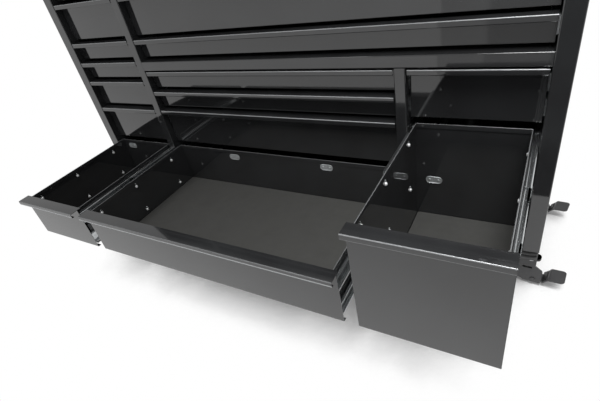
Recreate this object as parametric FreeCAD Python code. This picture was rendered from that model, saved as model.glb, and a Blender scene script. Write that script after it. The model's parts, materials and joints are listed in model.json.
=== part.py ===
import FreeCAD, Part
import math
import os

# Rolling tool cabinet in folded sheet steel: three columns of drawers on four casters.
# Millimetres. +X runs to the right seen from the front, +Y to the back, +Z up from the floor.
# It is drawn with the three bottom drawers pulled out and the rest shut.

Vector = FreeCAD.Vector

# Carcass
CABINET_WIDTH = 1829.0
CABINET_DEPTH = 559.0
SHEET = 1.2
OUTER_STILE = 46.0
INNER_STILE = 33.0
SIDE_OPENING = 343.0
BASE_PLATE = 3.0
BASE_RAIL_HEIGHT = 54.0
CASTER_CHANNEL_HEIGHT = 50.0
CASTER_CHANNEL_WIDTH = 66.0
CASTER_CHANNEL_SHEET = 3.0
CASTER_CHANNEL_RECESS = 22.0
TOP_RAIL_HEIGHT = 45.5
DECK_SHEET = 1.5
RAIL_RETURN = 25.0
CORNER_BEND = 2.0

# Rows of drawers: each pitch is a front panel plus the gap above the pull below it
PITCH_DEEP = 185.0
PITCH_LARGE = 162.0
PITCH_TALL = 149.0
PITCH_MEDIUM = 120.0
PITCH_SMALL = 80.0
ROW_GAP = 11.0
MIDDLE_RAIL_GAP = 5.0
TOP_RAIL_GAP = 8.0

# Drawer front and pull
FRONT_GAP = 4.0
PULL_REACH = 28.0
PULL_DEPTH = 42.0
PULL_LIP = 16.0
PULL_HEM = 9.0
PULL_SHEET = 1.5
PULL_BEND = 1.0
PANEL_FLANGE = 12.0

# Drawer tray and its mat
TRAY_LENGTH = 486.0
TRAY_SHEET = 1.0
TRAY_LIFT = 4.0
WALL_DROP = 5.0
LINER_THICKNESS = 2.5
LINER_CLEARANCE = 1.5
DRAWER_TRAVEL = 508.0

# Telescopic slides: three nested channels a side
SLIDE_LENGTH = 508.0
SLIDE_THICKNESS = 19.1
SLIDE_HEIGHT = 45.6
SLIDE_SHEET = 1.2
SLIDE_PLAY = 0.3
SLIDE_WEB_GAP = 0.8
SLIDE_FRONT_GAP = 0.8
LOW_SLIDE_RISE = 36.0
HIGH_SLIDE_DROP = 38.0
TWO_SLIDE_PITCH = 155.0

# Cylinder lock in the top rail
LOCK_FROM_RIGHT = 110.0
LOCK_BODY_RADIUS = 9.5
LOCK_FLANGE_RADIUS = 13.0
LOCK_FLANGE = 3.0
LOCK_BODY_LENGTH = 22.0
LOCK_PLUG_RADIUS = 6.0
LOCK_CAM_LENGTH = 24.0
LOCK_CAM_WIDTH = 12.0
LOCK_CAM_THICKNESS = 2.0
LOCK_CAM_GAP = 0.3
KEY_SLOT_WIDTH = 1.6
KEY_SLOT_LENGTH = 7.0
KEY_SLOT_DEPTH = 6.0

# Push handle on the right side
HANDLE_RADIUS = 14.0
HANDLE_WALL = 2.0
HANDLE_LENGTH = 400.0
HANDLE_STANDOFF = 62.0
HANDLE_DROP = 90.0
HANDLE_BRACKET_WIDTH = 36.0
HANDLE_BRACKET_HEIGHT = 70.0
HANDLE_FOOT = 4.0
HANDLE_WRAP = 6.0

# Casters
CASTER_HEIGHT = 140.0
RIGID_INSET_X = 62.0
SWIVEL_INSET_X = 34.0
CASTER_INSET_Y = 80.0
WHEEL_RADIUS = 50.8
WHEEL_WIDTH = 32.0
WHEEL_CROWN = 4.0
HUB_RADIUS = 16.0
HUB_WIDTH = 36.0
WEB_WIDTH = 14.0
TREAD_DEPTH = 11.0
AXLE_RADIUS = 6.0
AXLE_HEAD_RADIUS = 10.0
AXLE_HEAD = 7.0
RUNNING_FIT = 0.05
PLATE_LENGTH = 114.0
PLATE_WIDTH = 62.0
PLATE_THICKNESS = 6.0
BOLT_SPACING_LONG = 88.0
BOLT_SPACING_WIDE = 38.0
BOLT_RADIUS = 5.0
BOLT_HOLE_PLAY = 0.25
BOLT_HEAD = 6.5
BOLT_HEAD_RADIUS = 9.2
FORK_SHEET = 5.0
FORK_CROWN = 8.0
FORK_HALF_LENGTH = 30.0
FORK_TOE_RADIUS = 16.0
FORK_TRAIL = 40.0
FORK_SIDE_PLAY = 0.3
FORK_SLOT_LENGTH = 28.0
FORK_SLOT_HEIGHT = 8.0
FORK_SLOT_X = 13.0
FORK_SLOT_DROP = 63.0
RACE_RADIUS = 28.0
RACE_HEIGHT = 10.0
RACE_PLAY = 0.3
KINGPIN_RADIUS = 7.0
KINGPIN_HEAD_RADIUS = 11.0
KINGPIN_HEAD = 8.0

# Nose of the swivel forks, high on the front cheek as a guard, the pedal hinged in it, and the release tab
NOSE_REACH = 57.5
NOSE_DROP = 128.0
NOSE_HEEL_X = 8.0
GUARD_X = 37.0
GUARD_SHOULDER_DROP = 59.0
GUARD_BROW_DROP = 74.0
CHEEK_SHOULDER_DROP = 100.0
CHEEK_BROW_DROP = 120.0
PEDAL_AXIS_X = 34.0
PEDAL_AXIS_DROP = 116.0
PEDAL_PIN_RADIUS = 4.0
PEDAL_EYE_RADIUS = 8.0
PEDAL_SHEET = 4.0
PEDAL_SIDE_PLAY = 1.3
PEDAL_YOKE_X = 61.5
PEDAL_FLARE_X = 76.0
PEDAL_YOKE_WIDTH = 50.0
PEDAL_PAD_X = 82.0
PEDAL_PAD_DROP = 98.0
PEDAL_REACH = 124.0
PEDAL_TIP_RISE = 3.0
PEDAL_PAD_WIDTH = 58.0
PEDAL_PAD_CORNER = 12.0
PEDAL_BEND = 3.0
TAB_START = 14.0
TAB_REACH = 47.0
TAB_WIDTH = 30.0
TAB_ROUND = 13.0
TAB_THICKNESS = 8.0
SHOE_HEIGHT = 10.0
SHOE_WIDTH = 24.0
SHOE_START = 10.0
FRONT_SWIVEL_ANGLE = -6.0
REAR_SWIVEL_ANGLE = -10.0

# Places worked out from the sizes above
LEFT = -CABINET_WIDTH / 2
RIGHT = CABINET_WIDTH / 2
BACK_FACE = CABINET_DEPTH - SHEET
BASE_BOTTOM = CASTER_HEIGHT + CASTER_CHANNEL_HEIGHT
BASE_TOP = BASE_BOTTOM + BASE_PLATE
STACK_BOTTOM = BASE_TOP + BASE_RAIL_HEIGHT
TOP_ROWS = (PITCH_SMALL, PITCH_TALL, PITCH_SMALL)
LEFT_ROWS = (PITCH_DEEP, PITCH_LARGE, PITCH_MEDIUM, PITCH_SMALL) + TOP_ROWS
CENTRE_ROWS = (PITCH_DEEP, PITCH_LARGE, PITCH_SMALL, PITCH_SMALL)
RIGHT_ROWS = (PITCH_DEEP + PITCH_LARGE, PITCH_SMALL + PITCH_SMALL)
STACK_TOP = STACK_BOTTOM + sum(LEFT_ROWS)
MIDDLE_RAIL_TOP = STACK_TOP - sum(TOP_ROWS)
MIDDLE_RAIL_BOTTOM = STACK_BOTTOM + sum(CENTRE_ROWS) + MIDDLE_RAIL_GAP
TOP_RAIL_BOTTOM = STACK_TOP + TOP_RAIL_GAP
DECK_UNDERSIDE = TOP_RAIL_BOTTOM + TOP_RAIL_HEIGHT
COLUMN_LEFT = (LEFT + OUTER_STILE, LEFT + OUTER_STILE + SIDE_OPENING)
COLUMN_RIGHT = (RIGHT - OUTER_STILE - SIDE_OPENING, RIGHT - OUTER_STILE)
COLUMN_CENTRE = (COLUMN_LEFT[1] + INNER_STILE, COLUMN_RIGHT[0] - INNER_STILE)
COLUMN_WIDE = (COLUMN_CENTRE[0], COLUMN_RIGHT[1])
SLIDE_FRONT = PULL_REACH + SHEET + SLIDE_FRONT_GAP
CASTER_Y = (CASTER_INSET_Y, CABINET_DEPTH - CASTER_INSET_Y)
AXLE_DROP = CASTER_HEIGHT - WHEEL_RADIUS
FORK_INSIDE = HUB_WIDTH / 2 + FORK_SIDE_PLAY
FORK_OUTSIDE = FORK_INSIDE + FORK_SHEET
OPEN_DRAWERS = ("left_7", "centre_4", "right_2")

nodes = {}


def box(x, y, z):
    return Part.makeBox(x[1] - x[0], y[1] - y[0], z[1] - z[0], Vector(x[0], y[0], z[0]))


def in_yz(x):
    return lambda a, b: Vector(x, a, b)


def in_xz(y):
    return lambda a, b: Vector(a, y, b)


def in_xy(z):
    return lambda a, b: Vector(a, b, z)


def rounded_face(corners, place):
    """A flat face from corners (a, b, radius), with each corner rounded by its own radius."""
    count = len(corners)
    tangents = []
    arcs = []
    for i, (a, b, radius) in enumerate(corners):
        corner = Vector(a, b, 0)
        before = Vector(*corners[i - 1][:2], 0) - corner
        after = Vector(*corners[(i + 1) % count][:2], 0) - corner
        if radius == 0:
            tangents.append((corner, corner))
            arcs.append(None)
            continue
        before.normalize()
        after.normalize()
        half = before.getAngle(after) / 2
        reach = radius / math.tan(half)
        bisector = (before + after).normalize()
        tangents.append((corner + before * reach, corner + after * reach))
        arcs.append(corner + bisector * (radius / math.sin(half) - radius))
    edges = []
    for i in range(count):
        start, end = tangents[i]
        if arcs[i] is not None:
            points = [place(p.x, p.y) for p in (start, arcs[i], end)]
            edges.append(Part.Arc(*points).toShape())
        following = tangents[(i + 1) % count][0]
        if end.distanceToPoint(following) > 1e-6:
            edges.append(Part.LineSegment(place(end.x, end.y), place(following.x, following.y)).toShape())
    return Part.Face(Part.Wire(edges))


def bent_sheet(path, thickness, bend):
    """Corners of a folded sheet whose one face follows the path, with the metal on the path's left."""
    points = [Vector(a, b, 0) for a, b in path]
    headings = [(q - p).normalize() for p, q in zip(points, points[1:])]
    normals = [Vector(-h.y, h.x, 0) for h in headings]
    near = [(*path[0], 0)]
    far = [(points[0].x + normals[0].x * thickness, points[0].y + normals[0].y * thickness, 0)]
    for i in range(1, len(points) - 1):
        mitre = normals[i - 1] + normals[i]
        shift = mitre * (thickness / (1 + normals[i - 1].dot(normals[i])))
        left_turn = headings[i - 1].cross(headings[i]).z > 0
        near.append((*path[i], bend + thickness if left_turn else bend))
        offset = points[i] + shift
        far.append((offset.x, offset.y, bend if left_turn else bend + thickness))
    near.append((*path[-1], 0))
    last = points[-1] + normals[-1] * thickness
    far.append((last.x, last.y, 0))
    return near + far[::-1]


def round_bar(centre, axis, radius, length):
    return Part.makeCylinder(radius, length, centre, axis)


def hexagon(centre, radius, height):
    corners = []
    for i in range(6):
        angle = math.radians(60 * i)
        corners.append(centre + Vector(radius * math.cos(angle), radius * math.sin(angle), 0))
    face = Part.Face(Part.makePolygon(corners + corners[:1]))
    return face.extrude(Vector(0, 0, height))


def double_wall(x, z):
    """A hollow upright folded from one sheet: an outer skin, the stile at the front, an inner skin."""
    path = [(x[0], BACK_FACE), (x[0], 0), (x[1], 0), (x[1], BACK_FACE)]
    section = rounded_face(bent_sheet(path, SHEET, CORNER_BEND), in_xy(z[0]))
    return section.extrude(Vector(0, 0, z[1] - z[0]))


def front_rail(x, z, return_at_top):
    """A rail face with one stiffening return, folded back at its top or its bottom edge."""
    if return_at_top:
        path = [(RAIL_RETURN, z[1]), (0, z[1]), (0, z[0])]
    else:
        path = [(0, z[1]), (0, z[0]), (RAIL_RETURN, z[0])]
    section = rounded_face(bent_sheet(path, SHEET, CORNER_BEND), in_yz(x[0]))
    return section.extrude(Vector(x[1] - x[0], 0, 0))


# Carcass: two double-skinned sides, two hollow partitions, back, base, shelf and deck
def build_carcass():
    wall = (BASE_TOP, DECK_UNDERSIDE)
    nodes["side_wall_left"] = double_wall((LEFT, COLUMN_LEFT[0]), wall)
    nodes["side_wall_right"] = double_wall((COLUMN_RIGHT[1], RIGHT), wall)
    high = (STACK_BOTTOM, TOP_RAIL_BOTTOM)
    low = (STACK_BOTTOM, MIDDLE_RAIL_BOTTOM)
    nodes["partition_left"] = double_wall((COLUMN_LEFT[1], COLUMN_CENTRE[0]), high)
    nodes["partition_right"] = double_wall((COLUMN_CENTRE[1], COLUMN_RIGHT[0]), low)
    nodes["back_panel"] = box((LEFT, RIGHT), (BACK_FACE, CABINET_DEPTH), wall)
    between = (COLUMN_LEFT[0], COLUMN_RIGHT[1])
    plate = box((LEFT, RIGHT), (0, CABINET_DEPTH), (BASE_BOTTOM, BASE_TOP))
    nodes["base_pan"] = plate.fuse(front_rail(between, (BASE_TOP, STACK_BOTTOM), True)).removeSplitter()
    shelf_path = [(BACK_FACE, MIDDLE_RAIL_TOP), (0, MIDDLE_RAIL_TOP), (0, MIDDLE_RAIL_BOTTOM),
                  (RAIL_RETURN, MIDDLE_RAIL_BOTTOM)]
    shelf = rounded_face(bent_sheet(shelf_path, SHEET, CORNER_BEND), in_yz(COLUMN_WIDE[0]))
    nodes["middle_shelf"] = shelf.extrude(Vector(COLUMN_WIDE[1] - COLUMN_WIDE[0], 0, 0))
    deck = box((LEFT, RIGHT), (0, CABINET_DEPTH), (DECK_UNDERSIDE, DECK_UNDERSIDE + DECK_SHEET))
    rail = front_rail(between, (TOP_RAIL_BOTTOM, DECK_UNDERSIDE), False)
    lock_hole = round_bar(lock_centre(), Vector(0, 1, 0), LOCK_BODY_RADIUS, SHEET)
    nodes["top_deck"] = deck.fuse(rail.cut(lock_hole)).removeSplitter()


# Caster channels: two folded channels under the base, drilled for the casters' bolts
def build_caster_channels():
    half = CASTER_CHANNEL_WIDTH / 2
    along = (CASTER_CHANNEL_RECESS, CABINET_DEPTH - CASTER_CHANNEL_RECESS)
    channels = []
    for x in (LEFT + RIGID_INSET_X, RIGHT - SWIVEL_INSET_X):
        path = [(x - half, BASE_BOTTOM), (x - half, CASTER_HEIGHT),
                (x + half, CASTER_HEIGHT), (x + half, BASE_BOTTOM)]
        section = rounded_face(bent_sheet(path, CASTER_CHANNEL_SHEET, CORNER_BEND), in_xz(along[0]))
        channel = section.extrude(Vector(0, along[1] - along[0], 0))
        for bolt_x, y in bolt_places():
            if abs(bolt_x - x) < half:
                foot = Vector(bolt_x, y, CASTER_HEIGHT)
                hole = round_bar(foot, Vector(0, 0, 1), bolt_hole_radius(), CASTER_CHANNEL_SHEET)
                channel = channel.cut(hole)
        channels.append(channel)
    nodes["caster_channels"] = Part.makeCompound(channels)


# One drawer: folded front with its pull, welded to a tray, with the inner slide channels on its flanks
def drawer_front(x, z):
    pull_path = [(PULL_DEPTH, z[1]), (0, z[1]), (0, z[1] - PULL_LIP), (PULL_HEM, z[1] - PULL_LIP)]
    pull = rounded_face(bent_sheet(pull_path, PULL_SHEET, PULL_BEND), in_yz(x[0]))
    panel_path = [(PULL_REACH, z[1] - PULL_SHEET), (PULL_REACH, z[0]), (PULL_REACH + PANEL_FLANGE, z[0])]
    panel = rounded_face(bent_sheet(panel_path, SHEET, PULL_BEND), in_yz(x[0]))
    along = Vector(x[1] - x[0], 0, 0)
    return pull.extrude(along).fuse(panel.extrude(along))


def drawer_tray(x, z):
    front = PULL_DEPTH - TRAY_SHEET
    back = PULL_DEPTH + TRAY_LENGTH
    floor = z[0] + TRAY_LIFT
    wall_top = z[1] - WALL_DROP
    outside = box(x, (front, back), (floor, wall_top))
    inside = box((x[0] + TRAY_SHEET, x[1] - TRAY_SHEET), (PULL_DEPTH, back - TRAY_SHEET),
                 (floor + TRAY_SHEET, wall_top))
    head = box(x, (front, PULL_DEPTH), (wall_top, z[1] - PULL_SHEET))
    return outside.cut(inside).fuse(head)


def slide_channel(wall_x, inward, reach, half_height, z, web_near_wall):
    """One channel of a slide: reach is its near and far distance from the wall that carries the slide."""
    near, far = reach
    if web_near_wall:
        web, edge = near, far
        lining = near + SLIDE_SHEET
    else:
        web, edge = far, near
        lining = far - SLIDE_SHEET
    clear = half_height - SLIDE_SHEET
    section = [(edge, half_height), (web, half_height), (web, -half_height), (edge, -half_height),
               (edge, -clear), (lining, -clear), (lining, clear), (edge, clear)]
    corners = [Vector(wall_x + inward * a, SLIDE_FRONT, z + b) for a, b in section]
    face = Part.Face(Part.makePolygon(corners + corners[:1]))
    return face.extrude(Vector(0, SLIDE_LENGTH, 0))


def slide_set(column, z):
    """The outer, middle and inner channels of a slide on both walls of an opening, at height z."""
    outer_half = SLIDE_HEIGHT / 2
    middle_half = outer_half - SLIDE_SHEET - SLIDE_PLAY
    inner_half = middle_half - SLIDE_SHEET - SLIDE_PLAY
    step = SLIDE_SHEET + SLIDE_WEB_GAP
    outer, middle, inner = [], [], []
    for wall_x, inward in ((column[0], 1), (column[1], -1)):
        outer.append(slide_channel(wall_x, inward, (0, SLIDE_THICKNESS - 2 * step), outer_half, z, True))
        middle.append(slide_channel(wall_x, inward, (step, SLIDE_THICKNESS - step), middle_half, z, True))
        inner.append(slide_channel(wall_x, inward, (2 * step, SLIDE_THICKNESS), inner_half, z, False))
    return outer, middle, inner


def build_drawer(name, column, z, pitch, cabinet_channels):
    pulled = Vector(0, -DRAWER_TRAVEL if name in OPEN_DRAWERS else 0, 0)
    front = drawer_front((column[0] + FRONT_GAP, column[1] - FRONT_GAP), z)
    tray_x = (column[0] + SLIDE_THICKNESS, column[1] - SLIDE_THICKNESS)
    body = front.fuse(drawer_tray(tray_x, z)).removeSplitter()
    floor = z[0] + TRAY_LIFT
    low = floor + LOW_SLIDE_RISE
    high = z[1] - WALL_DROP - HIGH_SLIDE_DROP
    heights = [low]
    if pitch > PITCH_DEEP:
        heights = [high - PITCH_LARGE, high]
    elif pitch > TWO_SLIDE_PITCH:
        heights = [low, high]
    riding, following = body.Solids, []
    for height in heights:
        outer, middle, inner = slide_set(column, height)
        cabinet_channels.extend(outer)
        following.extend(middle)
        riding.extend(inner)
    drawer = Part.makeCompound(riding)
    drawer.translate(pulled)
    nodes["drawer_" + name] = drawer
    channels = Part.makeCompound(following)
    channels.translate(pulled / 2)
    nodes["slides_" + name] = channels
    if name in OPEN_DRAWERS:
        rim = TRAY_SHEET + LINER_CLEARANCE
        liner = box((tray_x[0] + rim, tray_x[1] - rim),
                    (PULL_DEPTH + LINER_CLEARANCE, PULL_DEPTH + TRAY_LENGTH - rim),
                    (floor + TRAY_SHEET, floor + TRAY_SHEET + LINER_THICKNESS))
        liner.translate(pulled)
        nodes["liner_" + name] = liner


def build_drawers():
    stacks = (("left", COLUMN_LEFT, LEFT_ROWS, STACK_BOTTOM),
              ("centre", COLUMN_CENTRE, CENTRE_ROWS, STACK_BOTTOM),
              ("right", COLUMN_RIGHT, RIGHT_ROWS, STACK_BOTTOM),
              ("wide", COLUMN_WIDE, TOP_ROWS, MIDDLE_RAIL_TOP))
    cabinet_channels = []
    for label, column, rows, bottom in stacks:
        for i, pitch in enumerate(rows):
            name = "%s_%d" % (label, len(rows) - i)
            build_drawer(name, column, (bottom + ROW_GAP, bottom + pitch), pitch, cabinet_channels)
            bottom += pitch
    nodes["slide_cabinet_channels"] = Part.makeCompound(cabinet_channels)


# Lock: a flanged body held in the top rail, and a plug with its cam that turns inside it
def lock_centre():
    return Vector(COLUMN_RIGHT[1] - LOCK_FROM_RIGHT, 0, (TOP_RAIL_BOTTOM + DECK_UNDERSIDE) / 2)


def build_lock():
    back = Vector(0, 1, 0)
    face = lock_centre() - back * LOCK_FLANGE
    length = LOCK_FLANGE + LOCK_BODY_LENGTH
    flange = round_bar(face, back, LOCK_FLANGE_RADIUS, LOCK_FLANGE)
    body = flange.fuse(round_bar(face, back, LOCK_BODY_RADIUS, length))
    bore = round_bar(face, back, LOCK_PLUG_RADIUS + RUNNING_FIT, length)
    nodes["lock_body"] = body.cut(bore).removeSplitter()
    tail = LOCK_CAM_GAP + LOCK_CAM_THICKNESS
    plug = round_bar(face, back, LOCK_PLUG_RADIUS, length + tail)
    keyway = box((face.x - KEY_SLOT_WIDTH / 2, face.x + KEY_SLOT_WIDTH / 2),
                 (face.y, face.y + KEY_SLOT_DEPTH),
                 (face.z - KEY_SLOT_LENGTH / 2, face.z + KEY_SLOT_LENGTH / 2))
    cam_front = face.y + length + LOCK_CAM_GAP
    half = LOCK_CAM_WIDTH / 2
    cam = box((face.x - half, face.x - half + LOCK_CAM_LENGTH),
              (cam_front, cam_front + LOCK_CAM_THICKNESS),
              (face.z - half, face.z + half))
    nodes["lock_plug"] = plug.cut(keyway).fuse(cam).removeSplitter()


# Push handle: a tube across the right side, gripped by two brackets
def build_handle():
    z = DECK_UNDERSIDE - HANDLE_DROP
    x = RIGHT + HANDLE_STANDOFF
    start = (CABINET_DEPTH - HANDLE_LENGTH) / 2
    along = Vector(0, 1, 0)
    tube = round_bar(Vector(x, start, z), along, HANDLE_RADIUS, HANDLE_LENGTH)
    bore = round_bar(Vector(x, start, z), along, HANDLE_RADIUS - HANDLE_WALL, HANDLE_LENGTH)
    nodes["push_handle"] = tube.cut(bore)
    grips = []
    for y in (start + HANDLE_BRACKET_WIDTH / 2, start + HANDLE_LENGTH - HANDLE_BRACKET_WIDTH * 3 / 2):
        width = (y, y + HANDLE_BRACKET_WIDTH)
        half = HANDLE_BRACKET_HEIGHT / 2
        foot = box((RIGHT, RIGHT + HANDLE_FOOT), width, (z - half, z + half))
        collar = HANDLE_RADIUS + HANDLE_WRAP
        arm = box((RIGHT, x), width, (z - collar, z + collar))
        eye = round_bar(Vector(x, y, z), along, collar, HANDLE_BRACKET_WIDTH)
        hole = round_bar(Vector(x, y, z), along, HANDLE_RADIUS, HANDLE_BRACKET_WIDTH)
        grips.extend(foot.fuse([arm, eye]).cut(hole).removeSplitter().Solids)
    nodes["handle_brackets"] = Part.makeCompound(grips)


# Casters: rigid ones on the left, swivelling ones with brakes on the right
def bolt_hole_radius():
    return BOLT_RADIUS + BOLT_HOLE_PLAY


def caster_places():
    """Kingpin places under the base, left pair first, front before back."""
    return [(x, y) for x in (LEFT + RIGID_INSET_X, RIGHT - SWIVEL_INSET_X) for y in CASTER_Y]


def plate_holes():
    return [(a * BOLT_SPACING_WIDE / 2, b * BOLT_SPACING_LONG / 2) for a in (-1, 1) for b in (-1, 1)]


def bolt_places():
    return [(x + dx, y + dy) for x, y in caster_places() for dx, dy in plate_holes()]


def top_plate():
    """A caster's mounting plate, with its top face at the origin."""
    plate = box((-PLATE_WIDTH / 2, PLATE_WIDTH / 2),
                (-PLATE_LENGTH / 2, PLATE_LENGTH / 2),
                (-PLATE_THICKNESS, 0))
    for x, y in plate_holes():
        hole = Vector(x, y, -PLATE_THICKNESS)
        plate = plate.cut(round_bar(hole, Vector(0, 0, 1), bolt_hole_radius(), PLATE_THICKNESS))
    return plate


def cheek_plate(corners, y):
    wire = Part.makePolygon([Vector(a, y, b) for a, b in corners + corners[:1]])
    return Part.Face(wire).extrude(Vector(0, FORK_SHEET, 0))


def fork_cheek(y, top, trail):
    """A fork's side plate: from its crown down to a round toe, drilled for the axle."""
    side = Vector(0, 1, 0)
    centre = Vector(-trail, y, -AXLE_DROP)
    corners = [(-FORK_HALF_LENGTH, -top), (FORK_HALF_LENGTH, -top),
               (FORK_TOE_RADIUS - trail, -AXLE_DROP), (-FORK_TOE_RADIUS - trail, -AXLE_DROP)]
    cheek = cheek_plate(corners, y).fuse(round_bar(centre, side, FORK_TOE_RADIUS, FORK_SHEET))
    return cheek.cut(round_bar(centre, side, AXLE_RADIUS, FORK_SHEET))


def braked_cheek(y, top, front, shoulder, brow):
    """A swivel fork's side plate, carried forward and down to the pedal's eye, with a slot."""
    side = Vector(0, 1, 0)
    eye = Vector(PEDAL_AXIS_X, y, -PEDAL_AXIS_DROP)
    corners = [(0, -top), (front, -top), (front, -shoulder), (NOSE_REACH, -brow),
               (NOSE_REACH, -NOSE_DROP), (NOSE_HEEL_X, -NOSE_DROP),
               (-FORK_TRAIL, -AXLE_DROP - FORK_TOE_RADIUS), (-FORK_TRAIL, -AXLE_DROP)]
    cheek = cheek_plate(corners, y).fuse(fork_cheek(y, top, FORK_TRAIL))
    slot_half = FORK_SLOT_LENGTH / 2
    slot = box((FORK_SLOT_X - slot_half, FORK_SLOT_X + slot_half), (y, y + FORK_SHEET),
               (-FORK_SLOT_DROP - FORK_SLOT_HEIGHT, -FORK_SLOT_DROP))
    axle_hole = round_bar(Vector(-FORK_TRAIL, y, -AXLE_DROP), side, AXLE_RADIUS, FORK_SHEET)
    pin_hole = round_bar(eye, side, PEDAL_PIN_RADIUS + RUNNING_FIT, FORK_SHEET)
    return cheek.cut([slot, axle_hole, pin_hole])


def axle(trail):
    """The axle bolt: its head and nut sit outside the cheeks."""
    side = Vector(0, 1, 0)
    centre = Vector(-trail, 0, -AXLE_DROP)
    shank = round_bar(centre - side * FORK_OUTSIDE, side, AXLE_RADIUS, 2 * FORK_OUTSIDE)
    head = round_bar(centre - side * (FORK_OUTSIDE + AXLE_HEAD), side, AXLE_HEAD_RADIUS, AXLE_HEAD)
    nut = round_bar(centre + side * FORK_OUTSIDE, side, AXLE_HEAD_RADIUS, AXLE_HEAD)
    return shank.fuse([head, nut]).removeSplitter()


def wheel(trail):
    """A tyred wheel with a dished web and a wide hub, turned about its axle."""
    half, hub, web = WHEEL_WIDTH / 2, HUB_WIDTH / 2, WEB_WIDTH / 2
    bore = AXLE_RADIUS + RUNNING_FIT
    rim = WHEEL_RADIUS - TREAD_DEPTH
    right = [(bore, hub, 0), (HUB_RADIUS, hub, 0), (HUB_RADIUS, web, 0), (rim, web, 0), (rim, half, 0),
             (WHEEL_RADIUS, half, WHEEL_CROWN)]
    left = [(a, -b, r) for a, b, r in right[::-1]]
    face = rounded_face(right + left, lambda a, b: Vector(a, b, 0))
    turned = face.revolve(Vector(0, 0, 0), Vector(0, 1, 0), 360)
    turned.translate(Vector(-trail, 0, -AXLE_DROP))
    return turned


def rigid_bracket():
    cheeks = [fork_cheek(y, PLATE_THICKNESS, 0) for y in (-FORK_OUTSIDE, FORK_INSIDE)]
    return top_plate().fuse(cheeks).removeSplitter()


def swivel_plate():
    """The mounting plate with its upper race and the headed kingpin that carries the fork."""
    race_bottom = PLATE_THICKNESS + RACE_HEIGHT
    crown_bottom = race_bottom + RACE_PLAY + RACE_HEIGHT + FORK_CROWN
    head_top = crown_bottom + RACE_PLAY
    down = Vector(0, 0, -1)
    race = round_bar(Vector(0, 0, -PLATE_THICKNESS), down, RACE_RADIUS, RACE_HEIGHT)
    pin = round_bar(Vector(0, 0, -PLATE_THICKNESS), down, KINGPIN_RADIUS, head_top - PLATE_THICKNESS)
    head = round_bar(Vector(0, 0, -head_top), down, KINGPIN_HEAD_RADIUS, KINGPIN_HEAD)
    return top_plate().fuse([race, pin, head]).removeSplitter()


def swivel_fork():
    """The fork with its race and pedal nose, the axle, and the moulded release tab under the crown."""
    race_top = PLATE_THICKNESS + RACE_HEIGHT + RACE_PLAY
    crown_top = race_top + RACE_HEIGHT
    crown_low = crown_top + FORK_CROWN
    down = Vector(0, 0, -1)
    race = round_bar(Vector(0, 0, -race_top), down, RACE_RADIUS, RACE_HEIGHT)
    crown = box((-FORK_HALF_LENGTH, FORK_HALF_LENGTH), (-FORK_OUTSIDE, FORK_OUTSIDE),
                (-crown_low, -crown_top))
    guard = braked_cheek(-FORK_OUTSIDE, crown_top, GUARD_X, GUARD_SHOULDER_DROP, GUARD_BROW_DROP)
    cheek = braked_cheek(FORK_INSIDE, crown_top, FORK_HALF_LENGTH, CHEEK_SHOULDER_DROP, CHEEK_BROW_DROP)
    bore = round_bar(Vector(0, 0, -race_top), down, KINGPIN_RADIUS + RUNNING_FIT, RACE_HEIGHT + FORK_CROWN)
    fork = race.fuse([crown, guard, cheek]).cut(bore).removeSplitter()
    half_tab = TAB_WIDTH / 2
    tab = rounded_face([(TAB_START, -half_tab, 0), (TAB_REACH, -half_tab, TAB_ROUND),
                        (TAB_REACH, half_tab, TAB_ROUND), (TAB_START, half_tab, 0)], in_xy(-crown_low))
    return Part.makeCompound(fork.Solids + [axle(FORK_TRAIL), tab.extrude(down * TAB_THICKNESS)])


def brake_pedal():
    """A pedal that rises from its hinge pin to the foot pad, with a brake shoe beside the tread."""
    side = Vector(0, 1, 0)
    axis = (PEDAL_AXIS_X, -PEDAL_AXIS_DROP)
    root = axis[1] - PEDAL_EYE_RADIUS
    low = -PEDAL_PAD_DROP - PEDAL_SHEET
    under = [(axis[0], root), (PEDAL_YOKE_X, root), (PEDAL_PAD_X, low), (PEDAL_REACH, low + PEDAL_TIP_RISE)]
    pad = PEDAL_PAD_WIDTH / 2
    yoke = PEDAL_YOKE_WIDTH / 2
    arm = FORK_INSIDE - PEDAL_SIDE_PLAY
    plate = rounded_face(bent_sheet(under, PEDAL_SHEET, PEDAL_BEND), in_xz(-pad))
    plate = plate.extrude(side * PEDAL_PAD_WIDTH)
    trim = [(axis[0], -arm, 0), (PEDAL_YOKE_X, -arm, 0),
            (PEDAL_YOKE_X, -yoke, 0), (PEDAL_FLARE_X, -yoke, 0),
            (PEDAL_PAD_X, -pad, PEDAL_BEND), (PEDAL_REACH, -pad, PEDAL_PAD_CORNER)]
    trim += [(a, -b, radius) for a, b, radius in trim[::-1]]
    column = rounded_face(trim, in_xy(-CASTER_HEIGHT)).extrude(Vector(0, 0, CASTER_HEIGHT))
    pin = round_bar(Vector(axis[0], -FORK_OUTSIDE, axis[1]), side, PEDAL_PIN_RADIUS, 2 * FORK_OUTSIDE)
    eye = round_bar(Vector(axis[0], -arm, axis[1]), side, PEDAL_EYE_RADIUS, 2 * arm)
    shoe = box((SHOE_START, axis[0]), (-SHOE_WIDTH / 2, SHOE_WIDTH / 2),
               (axis[1] - SHOE_HEIGHT / 2, axis[1] + SHOE_HEIGHT / 2))
    return plate.common(column).fuse([pin, eye, shoe]).removeSplitter()


def bolt():
    """A caster bolt with its nut: head below the plate, nut in the caster channel."""
    up = Vector(0, 0, 1)
    grip = PLATE_THICKNESS + CASTER_CHANNEL_SHEET
    shank = round_bar(Vector(0, 0, -PLATE_THICKNESS), up, BOLT_RADIUS, grip)
    head = hexagon(Vector(0, 0, -PLATE_THICKNESS - BOLT_HEAD), BOLT_HEAD_RADIUS, BOLT_HEAD)
    nut = hexagon(Vector(0, 0, CASTER_CHANNEL_SHEET), BOLT_HEAD_RADIUS, BOLT_HEAD)
    return shank.fuse([head, nut]).removeSplitter()


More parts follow.
